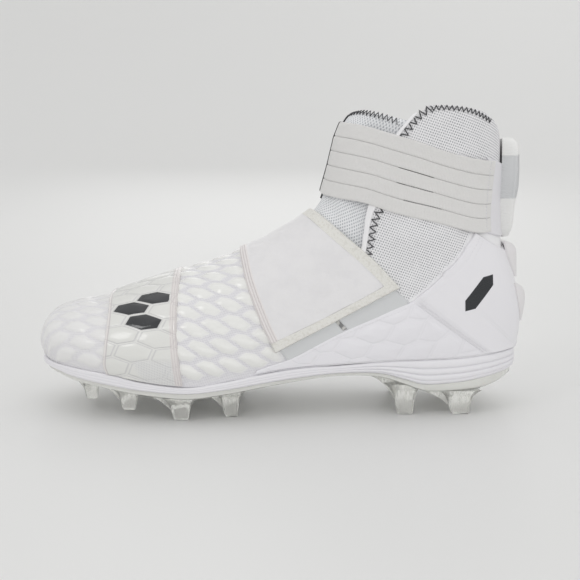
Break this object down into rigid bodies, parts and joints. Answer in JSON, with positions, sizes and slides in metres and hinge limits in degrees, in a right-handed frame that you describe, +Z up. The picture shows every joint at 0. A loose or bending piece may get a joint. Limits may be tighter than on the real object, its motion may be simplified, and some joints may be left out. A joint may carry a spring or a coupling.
{
  "type": "american football cleat",
  "caption": "High-top left football cleat: lasted knit upper, padded tongue, instep strap, banded ankle strap, foam midsole and clear studded plate.",
  "frame": {"origin": "on the ground, under the middle of the shoe's bounding box", "axes": "+X from toe to heel, -Y to the outer side of the foot, +Z up to the collar"},
  "size_m": [0.3084, 0.1044, 0.1862],
  "materials": {
    "mesh_knit": "white lilac knit with pinholes",
    "tongue_knit": "pale grey fine mesh",
    "foam": "white moulded foam, satin",
    "clear_plate": "clear glossy moulding, faintly yellow",
    "sock_liner": "black liner",
    "band_film": "white glossy film with raised cells",
    "strap_fabric": "white smooth strap with stitched edges",
    "elastic": "off-white ribbed elastic",
    "anchor_film": "white satin film",
    "quarter_film": "white satin film with faint raised scales",
    "counter_film": "white satin film",
    "loop_fabric": "grey brushed loop strip",
    "tab_webbing": "white webbing with a grey ribbed band",
    "scale_rubber": "pale grey rubber"
  },
  "bodies": {
    "root": {"upper": "mesh_knit", "tongue": "tongue_knit", "midsole": "foam", "outsole_plate": "clear_plate", "insole": "sock_liner", "forefoot_band": "band_film", "midfoot_strap": "strap_fabric", "ankle_strap": "elastic", "strap_anchor": "anchor_film", "heel_counter": "counter_film", "quarter_panel_outer": "quarter_film", "loop_patch_front": "loop_fabric", "loop_patch_rear": "loop_fabric", "heel_tab": "tab_webbing", "heel_scale_1": "scale_rubber", "heel_scale_2": "scale_rubber"}
  },
  "joints": []
}
